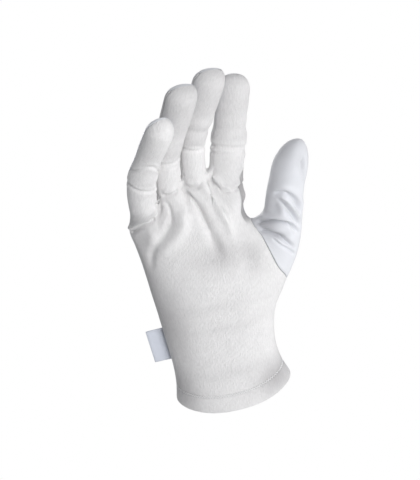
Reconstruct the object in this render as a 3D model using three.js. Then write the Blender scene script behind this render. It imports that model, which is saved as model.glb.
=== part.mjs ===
// White cotton dress glove for the right hand, in the form that it has when it is worn.
// Millimetres. The origin is the middle of the wrist opening, +Z runs to the fingertips,
// -Y is the palm side and +X the thumb side. The glove is one skin of cloth that is cut along
// its seams into a palm panel, a back panel, three fourchettes, a thumb and a hem.

import * as THREE from 'three';

// Cloth and seams
const CLOTH = 1.2; // wall of the knitted cloth
const HEM_CLOTH = 2.2; // wall of the turned-up hem, which is two layers
const SEAM_GAP = 0.4; // clearance between two pieces along a seam

// Hand body, from the wrist opening to the finger webs
const BODY_HEIGHT = 174; // wrist opening to the web between the middle and ring fingers
const PALM_FRONT = 17; // middle of the hand to the palm at the knuckles
const PALM_BACK = 14; // middle of the hand to the back of the glove at the knuckles
const BODY_WIDTH = 85.3; // across the hand at the knuckles
const HEM_HEIGHT = 13; // stitch line of the hem above its edge
const HEM_DROOP = 8; // how far the edge hangs lower at the front and back than at the sides
const DROOP_REACH = 62; // height above the edge at which the droop has gone
const FINGER_ROOT = 36; // stretch below the webs in which the palm divides into fingers
const WEB_DIP = 2.2; // how far the web dips between its two fingers

// Fingers, from the little finger to the index. web is the height of the web on the thumb side
// of the finger, as a drop below BODY_HEIGHT, and gap the width of that web. set is the distance
// of the root in front of the middle of the hand. root, middle and tip are the bends towards the
// palm at each joint, and leanRoot and lean the lean at the root and past the middle, in degrees.
// tipSide and tipBack are how far the top of the tip lies off the finger's middle line, square is
// how blunt the tip is, and taper how long it is, as a share of the width.
const FINGERS = [
  {
    name: 'little', width: 20.5, pad: 18.2, depth: 17.5, length: 78, web: 12, gap: 1, set: 7,
    root: 21, middle: 14, tip: 6, leanRoot: 4, lean: 26.5, tipSide: 3, tipBack: 4, square: 2.4, taper: 0.52,
  },
  {
    name: 'ring', width: 18.8, pad: 20.5, depth: 18, length: 82, web: 1, gap: 1, set: 3.5,
    root: 16, middle: 14, tip: 6, leanRoot: 4, lean: 22, tipSide: 7, tipBack: 4, square: 2.7, taper: 0.52,
  },
  {
    name: 'middle', width: 18, pad: 20.8, depth: 18, length: 79, web: 2, gap: 2.4, set: 1,
    root: 9, middle: 14, tip: 8, leanRoot: 4, lean: 24, tipSide: 6.5, tipBack: 4, square: 2.5, taper: 0.52,
  },
  {
    name: 'index', width: 25, pad: 22.6, depth: 18, length: 65.5, web: 7, gap: 0, set: -3,
    root: 1, middle: 3, tip: 6, leanRoot: 15, lean: 16.5, tipSide: 4, tipBack: 3, square: 3, taper: 0.5,
  },
];
const LITTLE_SIDE_DROP = 20; // drop of the little finger's root on its outer side
const FOURCHETTE_SPAN = 34; // half the angle that a fourchette takes of the finger at its root

// Thumb. It leaves the hand through a hole between two heights on the thumb side.
const THUMB = {
  name: 'thumb', width: 26.5, pad: 27.5, depth: 24, length: 52, set: 5,
  root: 8, middle: 5, tip: 4, leanRoot: 13, lean: 19, tipSide: 3.5, tipBack: 2, square: 2.2, taper: 0.95,
};
const THUMB_ROOT_OUT = 65; // middle of the hand to the middle of the thumb's root
const THUMB_ROOT_HEIGHT = 133; // height of the thumb's root
const THUMB_HOLE_LOW = 76; // lower end of the thumb's hole
const THUMB_HOLE_HIGH = 128.5; // upper end of the hole, which is the thumb's web
const THUMB_HOLE_SPAN = 42; // half the angle that the hole takes of the hand, at its widest

// Side label, a folded tab sewn into the seam on the little finger's side
const LABEL_LENGTH = 26.5; // along the seam
const LABEL_REACH = 14.5; // out of the seam
const LABEL_CLOTH = 0.9; // two layers of ribbon
const LABEL_LOW = 33.5; // lower end above the wrist opening

// Sections of the hand body. up is a share of BODY_HEIGHT, outer and thumb are shares of half
// the width of the four finger roots, front and back are shares of PALM_FRONT and PALM_BACK.
const BODY_SECTIONS = [
  { up: 0.0, outer: 1.05, thumb: 1.08, front: 1.56, back: 1.72 },
  { up: 0.08, outer: 0.985, thumb: 0.97, front: 1.42, back: 1.6 },
  { up: 0.17, outer: 0.96, thumb: 0.93, front: 1.34, back: 1.52 },
  { up: 0.27, outer: 0.975, thumb: 0.98, front: 1.36, back: 1.5 },
  { up: 0.35, outer: 0.985, thumb: 1.09, front: 1.42, back: 1.5 },
  { up: 0.43, outer: 0.995, thumb: 1.3, front: 1.44, back: 1.46 },
  { up: 0.5, outer: 1.01, thumb: 1.45, front: 1.42, back: 1.38 },
  { up: 0.585, outer: 1.025, thumb: 1.5, front: 1.3, back: 1.26 },
  { up: 0.67, outer: 1.045, thumb: 1.26, front: 1.16, back: 1.16 },
  { up: 0.74, outer: 1.075, thumb: 0.95, front: 1.06, back: 1.08 },
  { up: 0.8, outer: 1.105, thumb: 0.9, front: 1.0, back: 1.04 },
  { up: 1.0, outer: 1.0, thumb: 1.0, front: 0.85, back: 0.95 },
];

// Sections of a finger: at is a share of its length, width, front and back of its half sizes.
const FINGER_SECTIONS = [
  { at: 0.0, width: 1.0, front: 1.0, back: 1.0 },
  { at: 0.08, width: 1.0, front: 1.04, back: 0.99 },
  { at: 0.17, width: 1.0, front: 1.06, back: 0.99 },
  { at: 0.235, width: 0.97, front: 0.9, back: 1.03 },
  { at: 0.29, width: 0.99, front: 1.0, back: 1.06 },
  { at: 0.36, width: 1.0, front: 1.0, back: 1.02 },
  { at: 0.46, width: 0.98, front: 0.98, back: 0.97 },
  { at: 0.56, width: 0.98, front: 0.94, back: 0.97 },
  { at: 0.66, width: 1.02, front: 1.0, back: 0.96 },
  { at: 0.76, width: 1.03, front: 1.04, back: 0.92 },
  { at: 0.86, width: 1.04, front: 1.0, back: 0.86 },
  { at: 1.0, width: 1.0, front: 0.9, back: 0.8 },
];
const THUMB_SECTIONS = [
  { at: 0.0, width: 1.05, front: 1.0, back: 1.0 },
  { at: 0.14, width: 1.02, front: 0.97, back: 0.98 },
  { at: 0.28, width: 0.99, front: 0.95, back: 0.96 },
  { at: 0.42, width: 0.95, front: 0.97, back: 0.93 },
  { at: 0.56, width: 0.94, front: 1.0, back: 0.9 },
  { at: 0.7, width: 0.93, front: 1.0, back: 0.88 },
  { at: 1.0, width: 0.88, front: 0.9, back: 0.8 },
];

// Folds on the palm side. x0 and x1 are shares of half the width of the finger roots, z0 and z1
// of BODY_HEIGHT, bow, wide and deep are shares of PALM_FRONT. A fold is a valley from its first
// end to its second, and a ridge where deep is negative.
const FOLDS = [
  { name: 'ring_to_palm', x0: 0.0, z0: 0.94, x1: 0.38, z1: 0.67, bow: -0.2, wide: 0.24, deep: 0.15 },
  { name: 'ridge_to_palm', x0: 0.26, z0: 0.93, x1: 0.54, z1: 0.76, bow: 0.0, wide: 0.24, deep: -0.1 },
  { name: 'index_to_palm', x0: 0.5, z0: 0.89, x1: 0.58, z1: 0.76, bow: 0.0, wide: 0.22, deep: 0.08 },
  { name: 'little_to_palm', x0: -0.42, z0: 0.9, x1: -0.32, z1: 0.8, bow: -0.1, wide: 0.26, deep: 0.12 },
  { name: 'outer_palm', x0: -0.4, z0: 0.77, x1: -0.74, z1: 0.66, bow: -0.2, wide: 0.26, deep: 0.1 },
  { name: 'palm_hollow', x0: 0.3, z0: 0.68, x1: 0.6, z1: 0.6, bow: 0.0, wide: 0.9, deep: 0.14 },
  { name: 'little_root', x0: -1.0, z0: 0.835, x1: -0.6, z1: 0.88, bow: 0.12, wide: 0.26, deep: 0.13 },
  { name: 'ring_root', x0: -0.38, z0: 0.965, x1: -0.18, z1: 0.965, bow: 0.14, wide: 0.2, deep: 0.07 },
  { name: 'middle_root', x0: 0.04, z0: 0.97, x1: 0.27, z1: 0.97, bow: 0.14, wide: 0.2, deep: 0.07 },
  { name: 'index_root', x0: 0.44, z0: 0.95, x1: 0.84, z1: 0.895, bow: 0.2, wide: 0.2, deep: 0.1 },
  { name: 'thumb_web', x0: 1.03, z0: 0.735, x1: 1.52, z1: 0.62, bow: -0.1, wide: 0.2, deep: 0.13 },
  { name: 'thumb_middle', x0: 1.2, z0: 0.765, x1: 1.66, z1: 0.67, bow: -0.12, wide: 0.2, deep: 0.12 },
  { name: 'thumb_outer', x0: 1.48, z0: 0.85, x1: 1.78, z1: 0.74, bow: -0.1, wide: 0.2, deep: 0.1 },
];

// Facets: how finely each stretch of the skin is divided
const FRONT_COLUMNS = 5;
const BACK_COLUMNS = 4;
const SIDE_COLUMNS = 2;
const WEB_COLUMNS = 2;
const CUFF_ROWS = 7;
const HOLE_ROWS = 10;
const ROOT_ROWS = 7;
const HEM_ROWS = 1;
const TIP_ROWS = 4;
const THUMB_ROOT_ROWS = 9;
const SPINE_STEPS = 60;

const POINT_GRID = 1e-3; // points nearer than this are one
const MITRE_LIMIT = 1.5; // longest corner offset, in walls

const radians = THREE.MathUtils.degToRad;
const smooth = THREE.MathUtils.smoothstep;
const lerp = THREE.MathUtils.lerp;
const range = (count, value) => Array.from({ length: count }, (_, i) => value(i));
const point = (x, y, z) => new THREE.Vector3(x, y, z);

// The columns of a table at a place between its rows, on one smooth curve through them.
function sample(table, key, place) {
  const last = table.length - 1;
  let row = 0;
  while (row < last - 1 && place > table[row + 1][key]) row += 1;
  const [before, from, to, after] = [row - 1, row, row + 1, row + 2]
    .map((r) => table[THREE.MathUtils.clamp(r, 0, last)]);
  const span = to[key] - from[key];
  const t = THREE.MathUtils.clamp((place - from[key]) / span, 0, 1);
  const slope = (a, b, column) => (b[key] > a[key] ? (b[column] - a[column]) / (b[key] - a[key]) * span : 0);
  const value = (column) => {
    const start = slope(before, to, column);
    const end = slope(from, after, column);
    return (2 * t ** 3 - 3 * t ** 2 + 1) * from[column] + (t ** 3 - 2 * t ** 2 + t) * start
      + (3 * t ** 2 - 2 * t ** 3) * to[column] + (t ** 3 - t ** 2) * end;
  };
  return Object.fromEntries(Object.keys(from).map((column) => [column, value(column)]));
}

// A point between two ends that leaves the first and reaches the second along given directions.
function join(start, startDirection, end, endDirection, t) {
  const reach = start.distanceTo(end);
  return start.clone().multiplyScalar(2 * t ** 3 - 3 * t ** 2 + 1)
    .addScaledVector(startDirection, reach * (t ** 3 - 2 * t ** 2 + t))
    .addScaledVector(end, 3 * t ** 2 - 2 * t ** 3)
    .addScaledVector(endDirection, reach * (t ** 3 - t ** 2));
}

// Fingers
const halfWidth = BODY_WIDTH / 2;

// The bent middle line of a finger: a point, the way it runs, and the way to its thumb side and pad.
function spineOf(finger, root) {
  const stations = [];
  const place = root.clone();
  for (let i = 0; i <= SPINE_STEPS; i += 1) {
    const share = i / SPINE_STEPS;
    const bend = radians(finger.root + finger.middle * smooth(share, 0.16, 0.36)
      + finger.tip * smooth(share, 0.5, 0.7));
    const lean = radians(lerp(finger.leanRoot, finger.lean, smooth(share, -0.05, 0.5)));
    const along = point(Math.sin(lean), -Math.sin(bend) * Math.cos(lean), Math.cos(bend) * Math.cos(lean));
    const side = point(1, 0, 0).addScaledVector(along, -along.x).normalize();
    const pad = side.clone().cross(along);
    stations.push({ place: place.clone(), along, side, pad });
    place.addScaledVector(along, finger.length / SPINE_STEPS);
  }
  return stations;
}

function stationAt(spine, share) {
  const exact = THREE.MathUtils.clamp(share, 0, 1) * SPINE_STEPS;
  const index = Math.min(Math.floor(exact), SPINE_STEPS - 1);
  const [from, to] = [spine[index], spine[index + 1]];
  const mix = (key) => from[key].clone().lerp(to[key], exact - index);
  return { place: mix('place'), along: mix('along'), side: mix('side'), pad: mix('pad') };
}

// The share of its length at which a finger's tip starts.
const tipStartOf = (finger) => 1 - finger.taper * finger.width / finger.length;

// A finger's skin at a share of its length and a turn round it: 0 is its thumb side, a quarter
// turn its pad and a half turn its other side.
function fingerSkin(finger, share, turn) {
  const tipStart = tipStartOf(finger);
  const section = sample(finger.sections, 'at', share);
  const past = Math.max(0, (share - tipStart) / (1 - tipStart));
  const taper = Math.max(0, 1 - past ** finger.square) ** (1 / finger.square);
  const { place, along, side, pad } = stationAt(finger.spine, share);
  const width = lerp(finger.width, finger.pad, smooth(share, 0.25, 0.6)) * section.width;
  const across = width / 2 * taper * Math.cos(turn) + finger.tipSide * (1 - taper);
  const half = finger.depth / 2 * (Math.sin(turn) > 0 ? section.front : section.back);
  const deep = half * taper * Math.sin(turn) - finger.tipBack * (1 - taper);
  const slant = finger.slant * Math.cos(turn) * (1 - smooth(share, 0, 0.3));
  return place.addScaledVector(side, across).addScaledVector(pad, deep).addScaledVector(along, slant);
}

// The shares of its length at which a finger has a ring of points.
function ringShares(finger) {
  const tipStart = tipStartOf(finger);
  const shaft = finger.sections.map((row) => row.at).filter((at) => at < tipStart - 0.03);
  const tip = range(TIP_ROWS + 1, (i) => lerp(tipStart, 1, Math.sin(i / TIP_ROWS * Math.PI / 2)));
  return [...shaft, ...tip];
}

// How much of a finger's side is fourchette, as half an angle. It runs out near the tip.
function fourchetteTurn(finger, share) {
  const end = ringShares(finger).at(-3);
  return share >= end ? 0 : radians(FOURCHETTE_SPAN) * (1 - 0.78 * share / end);
}

let rootEdge = -halfWidth;
FINGERS.forEach((finger, i) => {
  const outerDrop = i ? FINGERS[i - 1].web : LITTLE_SIDE_DROP;
  const rootHeight = BODY_HEIGHT - (outerDrop + finger.web) / 2;
  finger.sections = FINGER_SECTIONS;
  finger.slant = (outerDrop - finger.web) / 2;
  finger.outerSeam = i === 0;
  finger.thumbSeam = i === FINGERS.length - 1;
  finger.spine = spineOf(finger, point(rootEdge + finger.width / 2, -finger.set, rootHeight));
  rootEdge += finger.width + finger.gap;
});
THUMB.sections = THUMB_SECTIONS;
THUMB.slant = 0;
THUMB.spine = spineOf(THUMB, point(THUMB_ROOT_OUT, -THUMB.set, THUMB_ROOT_HEIGHT));

// Hand body: its skin at a height and a turn, a half turn being the little finger's side, a
// quarter turn the palm, 0 the thumb side and a negative turn the back.
function bodySkin(height, turn) {
  const section = sample(BODY_SECTIONS, 'up', height / BODY_HEIGHT);
  const roundness = 0.88;
  const power = (value) => Math.sign(value) * Math.abs(value) ** roundness;
  const across = power(Math.cos(turn)) * halfWidth * (Math.cos(turn) < 0 ? section.outer : section.thumb);
  const deep = power(Math.sin(turn)) * (turn > 0 ? PALM_FRONT * section.front : PALM_BACK * section.back);
  const droop = HEM_DROOP * Math.sin(turn) ** 2 * (1 - smooth(height, 0, DROOP_REACH));
  return point(across, -deep, height - droop);
}

// Half the angle of the thumb's hole at a height.
function holeTurn(height) {
  const share = (height - THUMB_HOLE_LOW) / (THUMB_HOLE_HIGH - THUMB_HOLE_LOW);
  if (share <= 0 || share >= 1) return 0;
  return radians(THUMB_HOLE_SPAN) * Math.sin(Math.PI * share) ** lerp(0.75, 0.42, share);
}

// The height of each row in the thumb's hole, closer together at its two ends.
const holeHeights = range(HOLE_ROWS + 1, (i) => {
  const share = i / HOLE_ROWS;
  const eased = 0.55 * share + 0.45 * (1 - Math.cos(Math.PI * share)) / 2;
  return lerp(THUMB_HOLE_LOW, THUMB_HOLE_HIGH, eased);
});
const rootStart = BODY_HEIGHT - FINGER_ROOT;
const cuffHeights = range(CUFF_ROWS, (i) => lerp(HEM_HEIGHT, THUMB_HOLE_LOW, i / CUFF_ROWS));
const bodyHeights = [...cuffHeights, ...holeHeights, (THUMB_HOLE_HIGH + rootStart) / 2, rootStart];

// The web between two fingers, from one to the other, at a turn round their sides.
function webLine(finger, next, turn) {
  const from = fingerSkin(finger, 0, turn);
  const to = fingerSkin(next, 0, Math.PI - turn);
  return range(WEB_COLUMNS + 1, (i) => {
    const share = i / WEB_COLUMNS;
    return from.clone().lerp(to, share).add(point(0, 0, -WEB_DIP * Math.sin(Math.PI * share)));
  });
}

// The upper edge of the front or back of the hand: the finger roots and the webs between them,
// from the little finger's side to the thumb side. Each point has the way that the cloth runs on.
function rootEdgeLine(front) {
  const columns = front ? FRONT_COLUMNS : BACK_COLUMNS;
  const sign = front ? 1 : -1;
  const line = [];
  FINGERS.forEach((finger, i) => {
    const span = radians(FOURCHETTE_SPAN);
    const outer = Math.PI - (finger.outerSeam ? 0 : span);
    const inner = finger.thumbSeam ? 0 : span;
    const { along } = finger.spine[0];
    range(columns + 1, (c) => sign * lerp(outer, inner, c / columns))
      .forEach((turn) => line.push({ end: fingerSkin(finger, 0, turn), along }));
    if (!finger.thumbSeam) {
      webLine(finger, FINGERS[i + 1], sign * span).slice(1, -1)
        .forEach((end) => line.push({ end, along }));
    }
  });
  return line;
}

const frontEdge = rootEdgeLine(true);
const backEdge = rootEdgeLine(false);
// The turn at which each column of the hand body stands, below its point of the finger roots.
function turnsOf(line) {
  const [start, stop] = [line[0].end.x, line.at(-1).end.x];
  return line.map(({ end }) => Math.acos(1 - 2 * (stop - end.x) / (stop - start)));
}
const frontTurns = turnsOf(frontEdge);
const backTurns = turnsOf(backEdge);

// A row of the hand body, its turns drawn in to leave the thumb's hole free.
function bodyRow(height, turns, sign) {
  const hole = holeTurn(height);
  return turns.map((turn) => bodySkin(height, sign * lerp(hole, Math.PI, turn / Math.PI)));
}

// The rows in which the hand body divides into its fingers.
function rootRows(line, turns, sign) {
  const below = bodyRow(rootStart - 1, turns, sign);
  const at = bodyRow(rootStart, turns, sign);
  return range(ROOT_ROWS, (i) => line.map(({ end, along }, c) => {
    const direction = at[c].clone().sub(below[c]).normalize();
    return join(at[c], direction, end, along, (i + 1) / ROOT_ROWS);
  }));
}

// Thumb root: from the edge of the hole to the thumb's first ring
const thumbTurns = [
  ...range(HOLE_ROWS + 1, (i) => Math.PI * (1 - i / HOLE_ROWS)),
  ...range(HOLE_ROWS, (i) => -Math.PI * (i + 1) / HOLE_ROWS),
];

function thumbRow(share) {
  const count = HOLE_ROWS;
  return thumbTurns.map((turn, i) => {
    const height = holeHeights[Math.abs(count - i)];
    const start = bodySkin(height, Math.sign(turn || 1) * holeTurn(height));
    const [c, s] = [Math.cos(turn), Math.sin(turn)];
    const leaving = point(0.8 + 0.1 * c, 0.15 * s, 0.45 + 0.75 * c);
    const end = fingerSkin(THUMB, 0, turn);
    return join(start, leaving, end, THUMB.spine[0].along, share);
  });
}

const thumbRoot = range(THUMB_ROOT_ROWS, (i) => thumbRow(i / THUMB_ROOT_ROWS));
const thumbShaft = ringShares(THUMB).map((share) => thumbTurns.map((turn) => fingerSkin(THUMB, share, turn)));

// The skin: points that the pieces share along their seams, and the facets of each piece
const points = [];
const pointIndex = new Map();
const pieces = {};

function indexOf(place) {
  const key = place.toArray().map((value) => Math.round(value / POINT_GRID)).join();
  if (!pointIndex.has(key)) {
    pointIndex.set(key, points.length);
    points.push(place.clone());
  }
  return pointIndex.get(key);
}

function addRows(piece, rows) {
  pieces[piece] ??= [];
  for (let r = 0; r + 1 < rows.length; r += 1) {
    for (let c = 0; c + 1 < rows[r].length; c += 1) {
      const corners = [rows[r][c], rows[r][c + 1], rows[r + 1][c + 1], rows[r + 1][c]];
      if (corners[1].distanceTo(corners[3]) < corners[0].distanceTo(corners[2])) {
        corners.push(corners.shift());
      }
      const distinct = corners.map(indexOf).filter((id, i, all) => all.indexOf(id) === i);
      for (let i = 1; i + 1 < distinct.length; i += 1) {
        pieces[piece].push([distinct[0], distinct[i], distinct[i + 1]]);
      }
    }
  }
}

const reversed = (rows) => rows.map((row) => [...row].reverse());

function layHandBody() {
  const front = bodyHeights.map((height) => bodyRow(height, frontTurns, 1));
  const back = bodyHeights.map((height) => bodyRow(height, backTurns, -1));
  addRows('palm_panel', [...front, ...rootRows(frontEdge, frontTurns, 1)]);
  addRows('back_panel', reversed([...back, ...rootRows(backEdge, backTurns, -1)]));
  const hemHeights = range(HEM_ROWS + 1, (i) => HEM_HEIGHT * i / HEM_ROWS);
  addRows('hem', hemHeights.map((height) => [
    ...bodyRow(height, frontTurns, 1),
    ...bodyRow(height, backTurns, -1).reverse().slice(1),
  ]));
}

function layFinger(finger) {
  const shares = ringShares(finger);
  const arc = (columns, start, end) => shares.map((share) => range(columns + 1, (i) => {
    const side = fourchetteTurn(finger, share);
    return fingerSkin(finger, share, lerp(start(side), end(side), i / columns));
  }));
  const outer = (side) => (finger.outerSeam ? 0 : side);
  const inner = (side) => (finger.thumbSeam ? 0 : side);
  addRows(`${finger.name}_front`, arc(FRONT_COLUMNS, (side) => Math.PI - outer(side), inner));
  addRows(`${finger.name}_back`, arc(BACK_COLUMNS, (side) => -inner(side), (side) => -Math.PI + outer(side)));
  if (!finger.thumbSeam) {
    addRows(`fourchette_${finger.name}`, arc(SIDE_COLUMNS, (side) => side, (side) => -side));
  }
  if (!finger.outerSeam) {
    const previous = FINGERS[FINGERS.indexOf(finger) - 1];
    const strip = arc(SIDE_COLUMNS, (side) => -Math.PI + side, (side) => -Math.PI - side);
    addRows(`fourchette_${previous.name}`, strip);
  }
}

function layWeb(finger, next) {
  const span = radians(FOURCHETTE_SPAN);
  const lines = range(SIDE_COLUMNS + 1, (i) => webLine(finger, next, lerp(-span, span, i / SIDE_COLUMNS)));
  addRows(`fourchette_${finger.name}`, range(WEB_COLUMNS + 1, (w) => lines.map((line) => line[w])));
}

layHandBody();
FINGERS.forEach(layFinger);
FINGERS.slice(0, -1).forEach((finger, i) => layWeb(finger, FINGERS[i + 1]));
addRows('thumb', [...thumbRoot, ...thumbShaft]);

// The way out of the cloth at each point, and how far a corner has to be offset for a full wall.
function skinNormals() {
  const normals = points.map(() => point(0, 0, 0));
  const touching = points.map(() => []);
  Object.values(pieces).flat().forEach((facet) => {
    const [a, b, c] = facet.map((id) => points[id]);
    const flat = b.clone().sub(a).cross(c.clone().sub(a)).normalize();
    facet.forEach((id, i) => {
      const [next, last] = [points[facet[(i + 1) % 3]], points[facet[(i + 2) % 3]]];
      const angle = next.clone().sub(points[id]).angleTo(last.clone().sub(points[id]));
      normals[id].addScaledVector(flat, angle);
      touching[id].push(flat);
    });
  });
  return normals.map((normal, id) => {
    normal.normalize();
    const least = Math.min(...touching[id].map((flat) => flat.dot(normal)));
    return { normal, mitre: Math.min(MITRE_LIMIT, 1 / Math.max(least, 0.1)) };
  });
}

// How deep the folds are at a place on the palm side.
function foldDepth(place) {
  return FOLDS.reduce((sum, fold) => {
    const [x0, x1] = [fold.x0 * halfWidth, fold.x1 * halfWidth];
    const [z0, z1] = [fold.z0 * BODY_HEIGHT, fold.z1 * BODY_HEIGHT];
    const [dx, dz] = [x1 - x0, z1 - z0];
    const run = Math.hypot(dx, dz);
    const share = ((place.x - x0) * dx + (place.z - z0) * dz) / run ** 2;
    const bow = fold.bow * PALM_FRONT * Math.sin(Math.PI * THREE.MathUtils.clamp(share, 0, 1));
    const off = ((place.x - x0) * dz - (place.z - z0) * dx) / run - bow;
    const ends = smooth(share, -0.2, 0.15) * (1 - smooth(share, 0.85, 1.2));
    return sum + fold.deep * PALM_FRONT * ends * Math.exp(-((off / (fold.wide * PALM_FRONT)) ** 2));
  }, 0);
}

// Presses the folds into the cloth where it faces the palm side.
function pressFolds() {
  const normals = skinNormals();
  points.forEach((place, id) => {
    const facing = Math.max(0, -normals[id].normal.y);
    place.addScaledVector(normals[id].normal, -foldDepth(place) * facing);
  });
}

pressFolds();

// One piece of cloth with its wall turned inwards and its seams drawn back by half the gap.
function cloth(facets, wall) {
  const normals = skinNormals();
  const edges = new Map();
  facets.forEach((facet) => facet.forEach((id, i) => {
    const next = facet[(i + 1) % 3];
    if (!edges.delete(`${next},${id}`)) edges.set(`${id},${next}`, [id, next]);
  }));
  const inward = new Map();
  edges.forEach(([from, to]) => {
    const way = points[to].clone().sub(points[from]).normalize();
    [from, to].forEach((id) => {
      const drawn = normals[id].normal.clone().cross(way).normalize();
      inward.set(id, [...(inward.get(id) ?? []), drawn]);
    });
  });
  const ids = [...new Set(facets.flat())];
  const local = new Map(ids.map((id, i) => [id, i]));
  const outer = ids.map((id) => {
    const place = points[id].clone();
    const ways = inward.get(id) ?? [];
    if (!ways.length) return place;
    const mean = ways.reduce((sum, way) => sum.add(way), point(0, 0, 0)).normalize();
    const mitre = Math.min(MITRE_LIMIT, 1 / Math.max(mean.dot(ways[0]), 0.1));
    return place.addScaledVector(mean, SEAM_GAP / 2 * mitre);
  });
  const inner = ids.map((id, i) => outer[i].clone()
    .addScaledVector(normals[id].normal, -wall * normals[id].mitre));
  const count = ids.length;
  const triangles = facets.flatMap((facet) => {
    const [a, b, c] = facet.map((id) => local.get(id));
    return [a, b, c, c + count, b + count, a + count];
  });
  edges.forEach(([from, to]) => {
    const [a, b] = [local.get(from), local.get(to)];
    triangles.push(b, a, a + count, b, a + count, b + count);
  });
  const geometry = new THREE.BufferGeometry();
  geometry.setAttribute('position', new THREE.Float32BufferAttribute(
    [...outer, ...inner].flatMap((place) => place.toArray()), 3));
  geometry.setIndex(triangles);
  geometry.computeVertexNormals();
  return geometry;
}

// Materials
const knit = new THREE.MeshStandardMaterial({ color: 0xe9e9ea, roughness: 0.95, metalness: 0 });
const smoothKnit = new THREE.MeshStandardMaterial({ color: 0xeceef3, roughness: 0.8, metalness: 0 });
const ribbon = new THREE.MeshStandardMaterial({ color: 0xdfe4f0, roughness: 0.6, metalness: 0 });

const glove = new THREE.Group();

function addPiece(name, geometry, material) {
  const mesh = new THREE.Mesh(geometry, material);
  mesh.name = name;
  glove.add(mesh);
  return mesh;
}

Object.entries(pieces).forEach(([name, facets]) => {
  const wall = name === 'hem' ? HEM_CLOTH : CLOTH;
  addPiece(name, cloth(facets, wall), name === 'thumb' ? smoothKnit : knit);
});

// The label stands out of the side seam, along the edge of the cuff.
function sideLabel() {
  const [low, high] = [LABEL_LOW, LABEL_LOW + LABEL_LENGTH].map((height) => bodySkin(height, Math.PI));
  const seam = high.clone().sub(low);
  const tab = new THREE.BoxGeometry(LABEL_REACH, LABEL_CLOTH, seam.length());
  const label = addPiece('side_label', tab, ribbon);
  const clearance = SEAM_GAP + 0.1;
  label.position.copy(low.clone().add(high).multiplyScalar(0.5));
  label.position.x -= LABEL_REACH / 2 + clearance;
  label.rotation.y = Math.atan2(seam.x, seam.z);
}

sideLabel();

export default glove;
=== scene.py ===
import bpy
import math
from functools import partial
import numpy as np
from mathutils import Matrix, Vector


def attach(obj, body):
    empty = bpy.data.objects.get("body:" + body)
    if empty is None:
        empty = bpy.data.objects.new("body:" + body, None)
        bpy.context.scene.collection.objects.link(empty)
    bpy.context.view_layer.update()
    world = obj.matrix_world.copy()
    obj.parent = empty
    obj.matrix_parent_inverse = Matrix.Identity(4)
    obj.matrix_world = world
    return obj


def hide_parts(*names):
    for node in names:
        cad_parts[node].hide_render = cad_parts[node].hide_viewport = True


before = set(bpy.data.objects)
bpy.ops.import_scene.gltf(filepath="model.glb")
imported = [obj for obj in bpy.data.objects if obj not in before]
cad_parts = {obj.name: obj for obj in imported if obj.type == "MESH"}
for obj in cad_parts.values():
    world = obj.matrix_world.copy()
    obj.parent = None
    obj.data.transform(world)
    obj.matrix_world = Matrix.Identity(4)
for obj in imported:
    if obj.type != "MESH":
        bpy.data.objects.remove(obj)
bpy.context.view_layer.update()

# White cotton dress glove for the right hand. All lengths are millimetres until a mesh is made.
# +Z runs to the fingertips, -Y is the palm side and +X the thumb side.
MM = 0.001

# Cloth and seams
CLOTH = 1.1            # wall of the knit
SEAM_DEPTH = 0.6       # how far the cloth rolls in at a seam
SAME_POINT = 0.004     # points this close become one
HEM_HEIGHT = 13.0      # upper edge of the hem
HEM_ROLL = 1.15        # radius of the turned edge
HEM_GROOVE = 0.5       # how far the hem's stitches pull the cloth in
HEM_DROOP = 8.0        # how much lower the hem hangs in the middle of the palm and of the back
DROOP_REACH = 62.0     # how far up the wrist that goes
STITCH_DROP = 1.0      # how far below HEM_HEIGHT the stitches run
STITCH_LENGTH, STITCH_WIDTH, THREAD_RADIUS = 1.0, 1.1, 0.33

# Hand body
BODY_HEIGHT = 174.0    # the finger roots lie below this by their webs' own drops
PALM_FRONT = 17.0
PALM_BACK = 14.0
SQUARENESS = 0.88      # 1 would make the section of the hand an ellipse
FINGER_ROOT = 36.0     # how far below BODY_HEIGHT the cloth begins to turn into the fingers
BODY_WIDTH = 85.3
WEB_DIP = 2.2          # how far a web sags between two fingers
LITTLE_SIDE_DROP = 20.0
FOURCHETTE_SPAN = math.radians(34)
WAY_REACH = 3.0        # how far from a web two fingers' ways are mixed

# A finger's width at its root and its pad; web is how far below BODY_HEIGHT the web on its thumb side
# lies, gap how wide that is, set how far the root lies to the palm side. Degrees: root, middle and tip
# are bends, lean_root and lean are off +Z. tip_side and tip_back are how far the top of the tip lies off
# the finger's middle, square is how blunt the tip is and taper how long, as a share of the width.
FINGERS = [
    dict(name="little", width=20.5, pad=18.2, depth=17.5, length=78, web=12, gap=1, set=7, root=21,
         middle=14, tip=6, lean_root=4, lean=26.5, tip_side=3, tip_back=4, square=2.4, taper=0.52),
    dict(name="ring", width=18.8, pad=20.5, depth=18, length=82, web=1, gap=1, set=3.5, root=16,
         middle=14, tip=6, lean_root=4, lean=22, tip_side=7, tip_back=4, square=2.7, taper=0.52),
    dict(name="middle", width=18, pad=20.8, depth=18, length=79, web=2, gap=2.4, set=1, root=9,
         middle=14, tip=8, lean_root=4, lean=24, tip_side=6.5, tip_back=4, square=2.5, taper=0.52),
    dict(name="index", width=25, pad=22.6, depth=18, length=65.5, web=7, gap=0, set=-3, root=1,
         middle=3, tip=6, lean_root=15, lean=16.5, tip_side=1.4, tip_back=3, square=2.7, taper=0.56),
]
THUMB = dict(name="thumb", number=4, width=26.5, pad=27.5, depth=24, length=52, set=5, root=8, middle=5,
             tip=4, lean_root=13, lean=19, tip_side=3.5, tip_back=2, square=2.2, taper=0.95, slant=0)
THUMB_ROOT_OUT = 65.0
THUMB_ROOT_HEIGHT = 133.0
THUMB_HOLE_LOW = 76.0
THUMB_HOLE_HIGH = 128.5
THUMB_HOLE_SPAN = math.radians(42)
HOLE_FOOT, HOLE_TOP = 0.75, 0.42   # how fast the hole narrows to its foot and its top: less is blunter

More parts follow.
